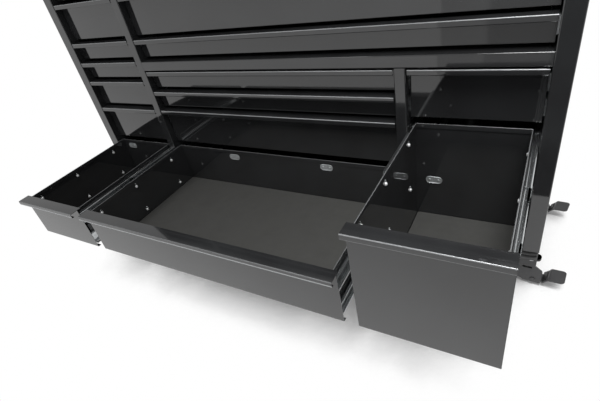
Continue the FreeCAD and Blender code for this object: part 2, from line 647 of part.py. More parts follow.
def placed(shape, x, y, angle=0.0):
    copy = shape.copy()
    copy.rotate(Vector(0, 0, 0), Vector(0, 0, 1), angle)
    copy.translate(Vector(x, y, CASTER_HEIGHT))
    return copy


def build_casters():
    places = caster_places()
    rigid, swivel = places[:2], places[2:]
    rigid_pieces = []
    for x, y in rigid:
        rigid_pieces.extend([placed(rigid_bracket(), x, y), placed(axle(0), x, y)])
    nodes["rigid_caster_brackets"] = Part.makeCompound(rigid_pieces)
    nodes["swivel_caster_plates"] = Part.makeCompound([placed(swivel_plate(), x, y) for x, y in swivel])
    nodes["caster_bolts"] = Part.makeCompound([placed(bolt(), x, y) for x, y in bolt_places()])
    for label, (x, y) in zip(("front", "rear"), rigid):
        nodes["rigid_wheel_" + label] = placed(wheel(0), x, y)
    for label, (x, y), angle in zip(("front", "rear"), swivel, (FRONT_SWIVEL_ANGLE, REAR_SWIVEL_ANGLE)):
        nodes["swivel_fork_" + label] = placed(swivel_fork(), x, y, angle)
        nodes["swivel_wheel_" + label] = placed(wheel(FORK_TRAIL), x, y, angle)
        nodes["brake_pedal_" + label] = placed(brake_pedal(), x, y, angle)


def centre_and_export():
    """Put the origin on the floor, under the middle of the whole part's box, and write each node."""
    whole = Part.makeCompound(list(nodes.values())).optimalBoundingBox(False, False)
    os.makedirs("parts", exist_ok=True)
    for name, shape in nodes.items():
        shape.translate(Vector(-whole.Center.x, -whole.Center.y, -whole.ZMin))
        shape.exportStep("parts/%s.step" % name)


build_carcass()
build_caster_channels()
build_drawers()
build_lock()
build_handle()
build_casters()
centre_and_export()
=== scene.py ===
import json
import math

import bmesh
import bpy
from mathutils import Matrix, Vector


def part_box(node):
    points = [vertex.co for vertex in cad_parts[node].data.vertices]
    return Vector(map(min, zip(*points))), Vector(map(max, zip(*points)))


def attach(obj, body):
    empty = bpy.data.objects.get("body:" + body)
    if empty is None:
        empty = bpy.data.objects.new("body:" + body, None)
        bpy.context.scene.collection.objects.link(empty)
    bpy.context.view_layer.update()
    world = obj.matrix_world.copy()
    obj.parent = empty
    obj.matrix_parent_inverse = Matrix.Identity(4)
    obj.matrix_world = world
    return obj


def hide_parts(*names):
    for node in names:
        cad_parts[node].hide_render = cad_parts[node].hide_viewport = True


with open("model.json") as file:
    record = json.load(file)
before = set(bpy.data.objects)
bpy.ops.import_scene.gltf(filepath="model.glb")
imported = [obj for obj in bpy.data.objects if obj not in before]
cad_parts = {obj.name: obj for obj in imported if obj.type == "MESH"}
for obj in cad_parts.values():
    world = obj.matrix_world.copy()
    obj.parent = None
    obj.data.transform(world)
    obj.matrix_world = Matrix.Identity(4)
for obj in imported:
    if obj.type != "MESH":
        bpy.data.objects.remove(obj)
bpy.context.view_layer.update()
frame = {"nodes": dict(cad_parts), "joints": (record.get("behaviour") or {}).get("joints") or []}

# Carcass: double-skinned side walls, hollow partitions, base pan, shelf, back and deck, folded from
# 1.2 mm sheet steel, spot welded, then sprayed as one with gloss black powder coat. The two channels
# that carry the casters are welded under the base and coated with it.
MM = 0.001
CARCASS = ("side_wall_left", "side_wall_right", "partition_left", "partition_right", "back_panel",
           "base_pan", "middle_shelf", "top_deck", "caster_channels")
COAT_BLACK = "212122"
COAT_FADED = "292a2b"
# Painted highlight: a pale satin metal colour and roughness put on rounded pull edges and hem tops where
# light would glint.
COAT_HIGHLIGHT_PAINT = "c4c6c8"
COAT_DIMPLE = 2.4 * MM
COAT_DIMPLE_DEPTH = 0.009 * MM
COAT_SMUDGE = 160 * MM
COAT_ROUGHNESS = (0.03, 0.08)
HIGHLIGHT_PAINT_ROUGHNESS = 0.7
NOISE_DETAIL = 4.0
NOISE_MIDDLE = (0.3, 0.7)
DIMPLE_DETAIL = 1.0
# A Mix node's sockets go by number: the share, then those for colours and those for plain numbers.
MIX_SHARE = 0
MIX_FROM, MIX_TO, MIX_RESULT = 6, 7, 2
BLEND_FROM, BLEND_TO, BLEND_RESULT = 2, 3, 0


def linear(code):
    """A colour written as an sRGB hex code, as the linear RGBA that sockets take."""
    shares = [int(code[i:i + 2], 16) / 255 for i in (0, 2, 4)]
    return [s / 12.92 if s <= 0.04045 else ((s + 0.055) / 1.055) ** 2.4 for s in shares] + [1.0]


def add(tree, kind, inputs, **settings):
    """One node with its settings, its inputs given as values or as the sockets that feed them."""
    node = tree.nodes.new(kind)
    for name, value in settings.items():
        setattr(node, name, value)
    for key, value in inputs.items():
        if isinstance(value, bpy.types.NodeSocket):
            tree.links.new(value, node.inputs[key])
        else:
            node.inputs[key].default_value = value
    return node


def new_finish(name, **constants):
    """A material with its shader, the constants set on the shader's own sockets."""
    finish = bpy.data.materials.new(name)
    finish.use_nodes = True
    shader = finish.node_tree.nodes["Principled BSDF"]
    for key, value in constants.items():
        shader.inputs[key.replace("_", " ")].default_value = value
    return finish, finish.node_tree, shader


def spread(tree, source, low, high):
    """The middle part of a noise stretched over the range from low to high."""
    least, most = NOISE_MIDDLE
    return add(tree, "ShaderNodeMapRange", {"Value": source, "From Min": least, "From Max": most,
                                            "To Min": low, "To Max": high}).outputs["Result"]


def mottled(finish_parts, grain, colours, roughness):
    """Colour and roughness of a finish wander together between two values over a grain size."""
    tree, shader = finish_parts[1:]
    place = add(tree, "ShaderNodeTexCoord", {}).outputs["Object"]
    noise = add(tree, "ShaderNodeTexNoise",
                {"Vector": place, "Scale": 1 / grain, "Detail": NOISE_DETAIL}).outputs["Fac"]
    first, second = (linear(code) for code in colours)
    mix = add(tree, "ShaderNodeMix", {MIX_SHARE: spread(tree, noise, 0.0, 1.0), MIX_FROM: first,
                                      MIX_TO: second}, data_type="RGBA")
    tree.links.new(mix.outputs[MIX_RESULT], shader.inputs["Base Color"])
    tree.links.new(spread(tree, noise, *roughness), shader.inputs["Roughness"])
    return place


def grained(finish_parts, place, size, depth):
    """A fine dimpled relief of the given size and depth."""
    tree, shader = finish_parts[1:]
    peel = add(tree, "ShaderNodeTexNoise", {"Vector": place, "Scale": 1 / size, "Detail": DIMPLE_DETAIL})
    bump = add(tree, "ShaderNodeBump", {"Height": peel.outputs["Fac"], "Distance": depth})
    tree.links.new(bump.outputs["Normal"], shader.inputs["Normal"])


def paint_highlights(finish_parts, colour, roughness):
    """Painted highlight: where a piece's own attribute says so, the coat turns to a pale satin metal that
    stands in for light glinting on rounded edges.
    """
    tree, shader = finish_parts[1:]
    painted_highlight = add(tree, "ShaderNodeAttribute", {}, attribute_name="painted_highlight").outputs["Fac"]
    coat = shader.inputs["Base Color"].links[0].from_socket
    mix = add(tree, "ShaderNodeMix", {MIX_SHARE: painted_highlight, MIX_FROM: coat, MIX_TO: linear(colour)},
              data_type="RGBA")
    tree.links.new(mix.outputs[MIX_RESULT], shader.inputs["Base Color"])
    tree.links.new(painted_highlight, shader.inputs["Metallic"])
    gloss = shader.inputs["Roughness"].links[0].from_socket
    highlight_roughness = add(tree, "ShaderNodeMix", {MIX_SHARE: painted_highlight, BLEND_FROM: gloss, BLEND_TO: roughness})
    tree.links.new(highlight_roughness.outputs[BLEND_RESULT], shader.inputs["Roughness"])


def dress(node, finish):
    """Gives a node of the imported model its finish."""
    slots = frame["nodes"][node].data.materials
    slots.clear()
    slots.append(finish)


# Gloss powder coat: cured powder flows out to a black mirror, slightly dimpled like orange peel,
# with broad faint patches of dust and handling that soften it here and there. Its IOR is above a
# plain resin's, because the clear top of the coat mirrors strongly.
powder_parts = new_finish("gloss_black_powder_coat", IOR=1.72)
place = mottled(powder_parts, COAT_SMUDGE, (COAT_BLACK, COAT_FADED), COAT_ROUGHNESS)
grained(powder_parts, place, COAT_DIMPLE, COAT_DIMPLE_DEPTH)
# The coat also carries painted highlights: pale metal where a piece's highlight attribute is set.
paint_highlights(powder_parts, COAT_HIGHLIGHT_PAINT, HIGHLIGHT_PAINT_ROUGHNESS)
powder_coat = powder_parts[0]
for node in CARCASS:
    dress(node, powder_coat)

# Screws: steel pan-head screws hold the back panel to the side walls, the left partition, the base
# and the deck. They are plated with zinc by the barrel, as most small fasteners are.
ZINC_PALE = "d6d9da"
ZINC_DULL = "b2b6b8"
ZINC_PATCH = 4 * MM
ZINC_ROUGHNESS = (0.38, 0.50)
SCREW_RADIUS = 5.5 * MM
SCREW_HEIGHT = 2.2 * MM
SCREW_EDGE = 14 * MM
SCREWS_ACROSS = 10
SCREWS_UP = 5
HEAD_SEGMENTS = 10
HEAD_RINGS = 6
HEAD_SEAT = -0.1
HEAD_DIMPLE = 0.4
HEAD_DIMPLE_FROM = 0.9

# Barrel zinc plate: a pale grey, matt and a little uneven from piece rubbing on piece.
zinc_parts = new_finish("matt_barrel_zinc_plate", Metallic=0.7)
mottled(zinc_parts, ZINC_PATCH, (ZINC_PALE, ZINC_DULL), ZINC_ROUGHNESS)
zinc = zinc_parts[0]


def growing_tree(name, inputs):
    """A tree that grows a mesh on points: the tree, its inputs' identifiers, and the sockets they give."""
    tree = bpy.data.node_groups.new(name, "GeometryNodeTree")
    keys = {}
    for label, kind in (("Points", "NodeSocketGeometry"), *inputs, ("Finish", "NodeSocketMaterial")):
        keys[label] = tree.interface.new_socket(label, in_out="INPUT", socket_type=kind).identifier
    tree.interface.new_socket("Grown", in_out="OUTPUT", socket_type="NodeSocketGeometry")
    return tree, keys, add(tree, "NodeGroupInput", {}).outputs


def end_tree(tree, instances, finish):
    """Ends such a tree with real meshes in one finish."""
    real = add(tree, "GeometryNodeRealizeInstances", {"Geometry": instances.outputs["Instances"]})
    done = add(tree, "GeometryNodeSetMaterial", {"Geometry": real.outputs["Geometry"], "Material": finish})
    add(tree, "NodeGroupOutput", {"Grown": done.outputs["Geometry"]})


# Domed heads on points: a low dome with a dimple at its top, turned to each point's own facing.
domed_heads, head_inputs, given = growing_tree("domed_heads", (("Radius", "NodeSocketFloat"),
                                                               ("Height", "NodeSocketFloat")))
ball = add(domed_heads, "GeometryNodeMeshUVSphere",
           {"Segments": HEAD_SEGMENTS, "Rings": HEAD_RINGS, "Radius": 1.0})
spot = add(domed_heads, "ShaderNodeSeparateXYZ",
           {"Vector": add(domed_heads, "GeometryNodeInputPosition", {}).outputs["Position"]}).outputs
seated = add(domed_heads, "ShaderNodeMath", {0: spot["Z"], 1: HEAD_SEAT}, operation="MAXIMUM")
dimple = add(domed_heads, "ShaderNodeMapRange", {"Value": spot["Z"], "From Min": HEAD_DIMPLE_FROM,
                                                 "From Max": 1.0, "To Min": 0.0, "To Max": HEAD_DIMPLE})
sunk = add(domed_heads, "ShaderNodeMath", {0: seated.outputs[0], 1: dimple.outputs["Result"]},
           operation="SUBTRACT")
dome_place = add(domed_heads, "ShaderNodeCombineXYZ",
                 {"X": spot["X"], "Y": spot["Y"], "Z": sunk.outputs[0]})
dome = add(domed_heads, "GeometryNodeSetPosition", {"Geometry": ball.outputs["Mesh"],
                                                    "Position": dome_place.outputs["Vector"]})
dome = add(domed_heads, "GeometryNodeSetShadeSmooth", {"Geometry": dome.outputs["Geometry"]})
dome_size = add(domed_heads, "ShaderNodeCombineXYZ", {"X": given["Radius"], "Y": given["Radius"],
                                                      "Z": given["Height"]})
facing = add(domed_heads, "GeometryNodeInputNamedAttribute", {"Name": "facing"}, data_type="FLOAT_VECTOR")
turn = add(domed_heads, "FunctionNodeAlignRotationToVector",
           {"Vector": facing.outputs["Attribute"]}, axis="Z")
heads = add(domed_heads, "GeometryNodeInstanceOnPoints",
            {"Points": given["Points"], "Instance": dome.outputs["Geometry"],
             "Rotation": turn.outputs["Rotation"], "Scale": dome_size.outputs["Vector"]})
end_tree(domed_heads, heads, given["Finish"])


def grow(name, spots, tree, settings, body):
    """One plain mesh grown by a node tree on spots, each a place and the way that it faces."""
    mesh = bpy.data.meshes.new(name)
    mesh.from_pydata([spot for spot, way in spots], [], [])
    ways = mesh.attributes.new("facing", "FLOAT_VECTOR", "POINT")
    for entry, (spot, way) in zip(ways.data, spots):
        entry.vector = way
    piece = bpy.data.objects.new(name, mesh)
    bpy.context.scene.collection.objects.link(piece)
    growth = piece.modifiers.new(name, "NODES")
    growth.node_group = tree
    for key, value in settings.items():
        growth[key] = value
    graph = bpy.context.evaluated_depsgraph_get()
    grown = bpy.data.meshes.new_from_object(piece.evaluated_get(graph), depsgraph=graph)
    piece.modifiers.clear()
    piece.data = grown
    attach(piece, body)


def set_heads(name, spots, radius, height, body, finish=zinc):
    """Domed heads of one size and finish, all on one body."""
    settings = {head_inputs["Radius"]: radius, head_inputs["Height"]: height, head_inputs["Finish"]: finish}
    grow(name, spots, domed_heads, settings, body)


back_low, back_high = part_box("back_panel")
BEHIND = Vector((0, 1, 0))
screw_spots = []
for i in range(SCREWS_ACROSS):
    x = back_low.x + SCREW_EDGE + (back_high.x - back_low.x - 2 * SCREW_EDGE) * i / (SCREWS_ACROSS - 1)
    for z in (back_low.z + SCREW_EDGE, back_high.z - SCREW_EDGE):
        screw_spots.append((Vector((x, back_high.y, z)), BEHIND))
for node in ("side_wall_left", "side_wall_right", "partition_left"):
    wall = sum(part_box(node), Vector()) / 2
    for i in range(1, SCREWS_UP):
        z = back_low.z + (back_high.z - back_low.z) * i / SCREWS_UP
        screw_spots.append((Vector((wall.x, back_high.y, z)), BEHIND))
set_heads("back_screws", screw_spots, SCREW_RADIUS, SCREW_HEIGHT, "carcass")

# Casters: pressed rigid brackets on the left, forks that swivel in ball-race rings on the right, with
# brake pedals on riveted pivots, in satin black paint, each on four zinc-plated bolts. The brakes'
# release tabs, the pedals' step pads and the ribbed caps of the channels are moulded nylon.
PAINT_BLACK = "333334"
PAINT_WORN = "3d3d3e"
PAINT_WEAR = 40 * MM
PAINT_ROUGHNESS = (0.30, 0.44)
PAINT_GRAIN = 1.2 * MM
PAINT_GRAIN_DEPTH = 0.02 * MM
NYLON_BLACK = "1a1a1b"
NYLON_SCUFFED = "262627"
NYLON_SCUFF = 12 * MM
NYLON_ROUGHNESS = (0.38, 0.55)
FORK_OUTSIDE = 23.3 * MM
NUT_SECTION = ((0.0, 11.7), (6.2, 11.7), (7.3, 10.2))
NUT_SIDES = 6
TAB_ROOT = 14.0
TAB_REACH = 47.3
TAB_WIDTH = 30.6
TAB_ROUND = 13.2
TAB_STEPS = 8
TAB_RINGS = ((34.3, 0.0), (41.4, 0.0), (42.3, 0.4), (42.6, 1.2))
TURN_STEPS = 72
UPPER_RACE = ((-6.2, 27.5), (-6.2, 30.0), (-7.2, 31.0), (-13.6, 31.0), (-15.0, 30.2), (-15.8, 28.6),
              (-15.8, 27.5))
LOWER_RACE = ((-16.6, 27.5), (-16.6, 28.6), (-17.4, 30.0), (-18.6, 30.8), (-24.4, 30.8), (-25.8, 30.0),
              (-26.0, 27.5))
CAP_INSIDE = 3.3 * MM
CAP_BOW = 5.0 * MM
CAP_BACK = 2.0 * MM
CAP_RIB = 2.4 * MM
CAP_RIBS = 3
CAP_RIB_STEPS = 6
CAP_COLUMNS = 12
PIVOT_FROM_PIN = (34.0, -116.0)
PIVOT_SECTION = ((-0.4, 8.5), (2.2, 8.5), (3.2, 7.6), (3.2, 4.6), (2.4, 4.0))
PIVOT_STEPS = 20
STEP_PAD_MIDDLE = (68.4, -110.5)
STEP_PAD_SLOPE = math.radians(47)
STEP_PAD_HALF = (7.5, 19.0)
STEP_PAD_RINGS = ((-0.6, 0.0), (1.4, 0.0), (2.2, 0.9))
MERGE = 0.01 * MM
SMOOTH_BELOW = math.radians(35)

# Satin caster paint: a sprayed coat over pressed steel, with soft broad glints, greyer where it is
# worn. The grain of the spray is drawn coarser than it is, so that it shows.
paint_parts = new_finish("satin_black_caster_paint", IOR=1.5)
place = mottled(paint_parts, PAINT_WEAR, (PAINT_BLACK, PAINT_WORN), PAINT_ROUGHNESS)
grained(paint_parts, place, PAINT_GRAIN, PAINT_GRAIN_DEPTH)
caster_paint = paint_parts[0]

# Moulded nylon: a deeper black than the paint beside it, with a dull even sheen and paler scuffs.
nylon_parts = new_finish("moulded_black_nylon", IOR=1.53)
mottled(nylon_parts, NYLON_SCUFF, (NYLON_BLACK, NYLON_SCUFFED), NYLON_ROUGHNESS)
nylon = nylon_parts[0]


def solids_of(node):
    """Merged copies of a node's separate solids, the one with the most points first."""
    whole = bmesh.new()
    whole.from_mesh(frame["nodes"][node].data)
    bmesh.ops.remove_doubles(whole, verts=whole.verts, dist=MERGE)
    whole.verts.index_update()
    left = set(whole.verts)
    groups = []
    while left:
        group, edge = set(), [left.pop()]
        while edge:
            vert = edge.pop()
            group.add(vert)
            for link in vert.link_edges:
                other = link.other_vert(vert)
                if other in left:
                    left.remove(other)
                    edge.append(other)
        groups.append(sorted(group, key=lambda v: v.index))
    groups.sort(key=lambda group: (-len(group), group[0].index))
    solids = []
    for group in groups:
        faces = sorted({f for v in group for f in v.link_faces}, key=lambda f: f.index)
        number = {v: i for i, v in enumerate(group)}
        solids.append(([v.co.copy() for v in group], [[number[v] for v in f.verts] for f in faces]))
    whole.free()
    return solids


def new_piece(name, parts, finish, body):
    """One object from (points, faces) parts, shaded smooth across its bends and riding on a body."""
    points, faces = [], []
    for part_points, part_faces in parts:
        faces += [[i + len(points) for i in face] for face in part_faces]
        points += part_points
    mesh = bpy.data.meshes.new(name)
    mesh.from_pydata(points, [], faces)
    mesh.shade_smooth()
    mesh.set_sharp_from_angle(angle=SMOOTH_BELOW)
    mesh.materials.append(finish)
    piece = bpy.data.objects.new(name, mesh)
    bpy.context.scene.collection.objects.link(piece)
    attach(piece, body)
    return piece


def closed(points, faces):
    """A closed shape with its faces turned outwards."""
    shape = bmesh.new()
    verts = [shape.verts.new(p) for p in points]
    for face in faces:
        shape.faces.new([verts[i] for i in face])
    bmesh.ops.recalc_face_normals(shape, faces=shape.faces)
    shape.verts.index_update()
    turned_out = [v.co.copy() for v in shape.verts], [[v.index for v in f.verts] for f in shape.faces]
    shape.free()
    return turned_out


def skin(loops):
    """A closed shape through loops of equally many points, capped at both ends."""
    count = len(loops[0])
    points = [p for loop in loops for p in loop]
    faces = [list(range(count)), list(range(len(points) - count, len(points)))]
    for step in range(len(loops) - 1):
        for i in range(count):
            j = (i + 1) % count
            here, after = step * count, (step + 1) * count
            faces.append([here + i, here + j, after + j, after + i])
    return closed(points, faces)


def span(points):
    """The lowest and highest corner of the box round some points."""
    return [Vector([pick(p[i] for p in points) for i in range(3)]) for pick in (min, max)]


def upright_loop(middle, ahead, radius, steps):
    """Points round an upright circle, from the one straight ahead upwards."""
    angles = [2 * math.pi * i / steps for i in range(steps)]
    return [middle + (ahead * math.cos(t) + Vector((0, 0, math.sin(t)))) * (radius * MM) for t in angles]


def fork_heads(section, steps, centre, axle):
    """A pair of nuts or round heads on a level pin, one on each outer face of a fork."""
    ahead = Vector((-axle.y, axle.x, 0))
    heads = []
    for side in (-1, 1):
        loops = []
        for along, radius in section:
            middle = centre + axle * (side * (FORK_OUTSIDE + along * MM))
            loops.append(upright_loop(middle, ahead, radius, steps))
        heads.append(skin(loops))
    return heads


def turned(section, centre, axle):
    """A ring turned about an axle from a closed section of (along, radius) points in millimetres."""
    ahead = axle.orthogonal().normalized()
    aside = axle.cross(ahead)
    count = len(section)
    points, faces = [], []
    for step in range(TURN_STEPS):
        angle = 2 * math.pi * step / TURN_STEPS
        spoke = ahead * math.cos(angle) + aside * math.sin(angle)
        points += [centre + axle * (a * MM) + spoke * (r * MM) for a, r in section]
        after = (step + 1) % TURN_STEPS
        for i in range(count):
            j = (i + 1) % count
            faces.append([step * count + i, step * count + j, after * count + j, after * count + i])
    return closed(points, faces)


def tab_loop(kingpin, ahead, drop, inset):
    """The release tab's outline: straight at its root and half round at its tip."""
    aside = Vector((-ahead.y, ahead.x, 0))
    half = TAB_WIDTH / 2 - inset
    corner = TAB_ROUND - inset
    tip = TAB_REACH - inset
    outline = [(TAB_ROOT, -half)]
    for side in (-1, 1):
        for i in range(TAB_STEPS + 1):
            angle = math.pi / 2 * (i / TAB_STEPS + (side - 1) / 2)
            outline.append((tip - corner + corner * math.cos(angle),
                            side * (half - corner) + corner * math.sin(angle)))
    outline.append((TAB_ROOT, half))
    return [kingpin + ahead * (a * MM) + aside * (b * MM) - Vector((0, 0, drop * MM)) for a, b in outline]


def channel_cap(low, high, mouth, out):
    """A bowed cap with level ribs that closes one end of a caster channel."""
    loops = []
    for column in range(CAP_COLUMNS + 1):
        across = 2 * column / CAP_COLUMNS - 1
        bow = CAP_BOW * (1 - across * across)
        x = (low.x + high.x) / 2 + across * ((high.x - low.x) / 2 - CAP_INSIDE)
        foot, head = low.z + CAP_INSIDE, high.z - CAP_INSIDE
        loop = [(-CAP_BACK, head), (-CAP_BACK, foot)]
        for i in range(CAP_RIBS * CAP_RIB_STEPS + 1):
            swell = CAP_RIB * abs(math.sin(math.pi * i / CAP_RIB_STEPS))
            loop.append((bow + swell, foot + (head - foot) * i / (CAP_RIBS * CAP_RIB_STEPS)))
        loops.append([Vector((x, mouth + out * a, z)) for a, z in loop])
    return skin(loops)


def step_pad(kingpin, ahead):
    """A plain pad with eased edges on the slope of a brake pedal."""
    aside = Vector((-ahead.y, ahead.x, 0))
    along = ahead * math.cos(STEP_PAD_SLOPE) + Vector((0, 0, math.sin(STEP_PAD_SLOPE)))
    out = Vector((0, 0, math.cos(STEP_PAD_SLOPE))) - ahead * math.sin(STEP_PAD_SLOPE)
    middle = kingpin + (ahead * STEP_PAD_MIDDLE[0] + Vector((0, 0, STEP_PAD_MIDDLE[1]))) * MM
    loops = []
    for rise, inset in STEP_PAD_RINGS:
        half, wide = STEP_PAD_HALF[0] - inset, STEP_PAD_HALF[1] - inset
        corners = ((-half, -wide), (half, -wide), (half, wide), (-half, wide))
        loops.append([middle + (along * a + aside * b + out * rise) * MM for a, b in corners])
    return skin(loops)


for node in ("rigid_caster_brackets", "swivel_caster_plates", "swivel_fork_front", "swivel_fork_rear",
             "brake_pedal_front", "brake_pedal_rear"):
    dress(node, caster_paint)
dress("caster_bolts", zinc)
caps = []
for points, _ in solids_of("caster_channels"):
    low, high = span(points)
    caps += [channel_cap(low, high, low.y, -1), channel_cap(low, high, high.y, 1)]
new_piece("caster_channel_caps", caps, nylon, "carcass")
joints = {joint["name"]: joint for joint in frame["joints"]}
for corner, carrier in (("rigid_front", "carcass"), ("rigid_rear", "carcass"),
                        ("swivel_front", "swivel_fork_front"), ("swivel_rear", "swivel_fork_rear")):
    joint = joints["roll_" + corner]
    centre, axle = Vector(joint["pos_m"]), Vector(joint["axis"])
    nuts = fork_heads(NUT_SECTION, NUT_SIDES, centre, axle)
    new_piece("axle_nuts_" + corner, nuts, zinc, carrier)
    if carrier != "carcass":
        ahead = Vector((axle.y, -axle.x, 0))
        kingpin = Vector(joints[corner]["pos_m"])
        loops = [tab_loop(kingpin, ahead, drop, inset) for drop, inset in TAB_RINGS]
        new_piece("release_tab_" + corner, [skin(loops)], nylon, carrier)
        upright_pin = Vector((0, 0, 1))
        upper, lower = (turned(section, kingpin, upright_pin) for section in (UPPER_RACE, LOWER_RACE))
        new_piece("upper_race_" + corner, [upper], caster_paint, "carcass")
        new_piece("lower_race_" + corner, [lower], caster_paint, carrier)
        pivot = kingpin + (ahead * PIVOT_FROM_PIN[0] + Vector((0, 0, PIVOT_FROM_PIN[1]))) * MM
        heads = fork_heads(PIVOT_SECTION, PIVOT_STEPS, pivot, axle)
        new_piece("pivot_heads_" + corner, heads, caster_paint, carrier)
        pedal = "brake_pedal_" + corner.split("_")[1]
        new_piece("step_pad_" + corner, [step_pad(kingpin, ahead)], nylon, pedal)

# Wheels: a solid polyurethane tyre cast round a moulded nylon centre with a hub, a thin web and
# ribs, which turns on the axle bolt of its bracket or fork.
TYRE_BLACK = "1f1f20"
TYRE_DUSTY = "3a3937"
TYRE_GRAIN = 3 * MM
TYRE_ROUGHNESS = (0.5, 0.75)
TYRE_SECTION = ((16, 39.8), (16, 46.8), (15.7, 48.3), (14.8, 49.6), (13.5, 50.4), (12, 50.7), (6, 50.8),
                (0, 50.8))
CENTRE_SECTION = ((18, 6.05), (18, 15), (17, 16), (4.2, 17.2), (3, 18.6), (3, 34), (4.4, 35.6),
                  (13.8, 36.2), (14.6, 37), (14.6, 39.9))
RIB_COUNT = 10
RIB_REACH = (15.5, 36.5)
RIB_THICKNESS = 3.0
RIB_WIDTH = 22.0

# Cast polyurethane: a matt black that wears dull on the tread and picks up brownish floor dust.
tyre_parts = new_finish("cast_polyurethane_tyre", IOR=1.5)
mottled(tyre_parts, TYRE_GRAIN, (TYRE_BLACK, TYRE_DUSTY), TYRE_ROUGHNESS)
tyre = tyre_parts[0]


def both_ways(section):
    """A half section and its mirror image across the wheel's middle."""
    return list(section) + [(-a, r) for a, r in section[::-1] if a]


# Ribs on points: a flat bar that stands along each point's facing.
moulded_ribs, rib_inputs, given = growing_tree("moulded_ribs", (("Size", "NodeSocketVector"),
                                                                ("Across", "NodeSocketVector")))
bar = add(moulded_ribs, "GeometryNodeMeshCube", {"Size": given["Size"]})
facing = add(moulded_ribs, "GeometryNodeInputNamedAttribute", {"Name": "facing"}, data_type="FLOAT_VECTOR")
turn = add(moulded_ribs, "FunctionNodeAxesToRotation", {"Primary Axis": facing.outputs["Attribute"],
                                                        "Secondary Axis": given["Across"]},
           primary_axis="Z", secondary_axis="Y")
ribs = add(moulded_ribs, "GeometryNodeInstanceOnPoints",
           {"Points": given["Points"], "Instance": bar.outputs["Mesh"],
            "Rotation": turn.outputs["Rotation"]})
end_tree(moulded_ribs, ribs, given["Finish"])

for place_name in ("rigid_front", "rigid_rear", "swivel_front", "swivel_rear"):
    kind, end = place_name.split("_")
    body = kind + "_wheel_" + end
    joint = joints["roll_" + place_name]
    centre, axle = Vector(joint["pos_m"]), Vector(joint["axis"])
    ahead = Vector((-axle.y, axle.x, 0))
    tread = turned(both_ways(TYRE_SECTION), centre, axle)
    tyre_piece = new_piece("tyre_" + place_name, [tread], tyre, body)
    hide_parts(body)
    wheel_centre = turned(both_ways(CENTRE_SECTION), centre, axle)
    new_piece("wheel_centre_" + place_name, [wheel_centre], nylon, body)
    rib_spots = []
    for i in range(RIB_COUNT):
        angle = 2 * math.pi * i / RIB_COUNT
        spoke = ahead * math.cos(angle) + Vector((0, 0, math.sin(angle)))
        rib_spots.append((centre + spoke * (sum(RIB_REACH) / 2 * MM), spoke))
    rib_size = [RIB_THICKNESS * MM, RIB_WIDTH * MM, (RIB_REACH[1] - RIB_REACH[0]) * MM]
    settings = {rib_inputs["Size"]: rib_size, rib_inputs["Across"]: axle, rib_inputs["Finish"]: nylon}
    grow("wheel_ribs_" + place_name, rib_spots, moulded_ribs, settings, body)

# Slides: three nested channels a side, roll formed from zinc-plated strip, with a ball race sunk into
# each flange. The outer ones are fixed to the walls, the middle ones travel half as far as the drawer.
LABELS = ["%s_%d" % (column, n) for column, count in (("left", 7), ("centre", 4), ("right", 2), ("wide", 3))
          for n in range(1, count + 1)]
STRIP_PALE = "e0e2e3"
STRIP_DULL = "b6babc"
STRIP_STREAK = (5 * MM, 180 * MM, 2 * MM)
STRIP_ROUGHNESS = (0.20, 0.32)
STRIP_DETAIL = 3.0
CHANNEL_SHEET = 1.2 * MM
CHANNEL_BEND = 2.0 * MM
BEND_STEPS = 4
RACE_SECTION = ((2.6, 0.0), (1.9, 0.9), (0.7, 1.4), (-0.7, 1.4), (-1.9, 0.9), (-2.6, 0.0))
OUTER_CHANNEL = (12.2, 15.1)
MIDDLE_CHANNEL = (10.2, 15.1)
INNER_CHANNEL = (6.9, 11.0)

# Bright zinc strip: a pale metal that the rolls have left shiny along the channel, in long thin
# streaks, so that it shows as crisp white and grey lines.
strip, tree, shader = new_finish("bright_rolled_zinc_strip", Metallic=1.0)
place = add(tree, "ShaderNodeTexCoord", {}).outputs["Object"]
along = add(tree, "ShaderNodeMapping", {"Vector": place, "Scale": [1 / s for s in STRIP_STREAK]})
streak = add(tree, "ShaderNodeTexNoise", {"Vector": along.outputs["Vector"], "Scale": 1.0,
                                          "Detail": STRIP_DETAIL}).outputs["Fac"]
mix = add(tree, "ShaderNodeMix", {MIX_SHARE: spread(tree, streak, 0.0, 1.0), MIX_FROM: linear(STRIP_PALE),
                                  MIX_TO: linear(STRIP_DULL)}, data_type="RGBA")
tree.links.new(mix.outputs[MIX_RESULT], shader.inputs["Base Color"])
tree.links.new(spread(tree, streak, *STRIP_ROUGHNESS), shader.inputs["Roughness"])


def rolled_channel(solid, race, reach):
    """A channel rolled along Y in a plain channel's place, its web on the side that has fewer corners.
    Its flanges reach so far from the web, with a ball race sunk into each."""
    points = solid[0]
    low, high = span(points)
    near_low = sum(1 for p in points if p.x - low.x < CHANNEL_SHEET / 4)
    near_high = sum(1 for p in points if high.x - p.x < CHANNEL_SHEET / 4)
    web, way = (low.x, 1) if near_low < near_high else (high.x, -1)
    outside, inside = [], []
    for side in (1, -1):
        flange = high.z if side == 1 else low.z
        outer = CHANNEL_BEND + CHANNEL_SHEET
        bend = []
        for i in range(BEND_STEPS + 1):
            angle = math.pi / 2 * i / BEND_STEPS
            bend.append((math.sin(angle), math.cos(angle)))
        turn = [(outer * (1 - s), outer * (1 - c)) for s, c in bend]
        lining = [(outer - CHANNEL_BEND * s, outer - CHANNEL_BEND * c) for s, c in bend]
        sunk = [(reach * MM, 0.0)] + [((race + a) * MM, b * MM) for a, b in RACE_SECTION]
        outline = [(web + way * a, flange - side * b) for a, b in sunk + turn]
        inline = [(web + way * a, flange - side * (b + CHANNEL_SHEET)) for a, b in sunk]
        inline += [(web + way * a, flange - side * b) for a, b in lining]
        outside += outline if side == 1 else outline[::-1]
        inside += inline if side == 1 else inline[::-1]
    loop = outside + inside[::-1]
    return skin([[Vector((x, y, z)) for x, z in loop] for y in (low.y, high.y)])


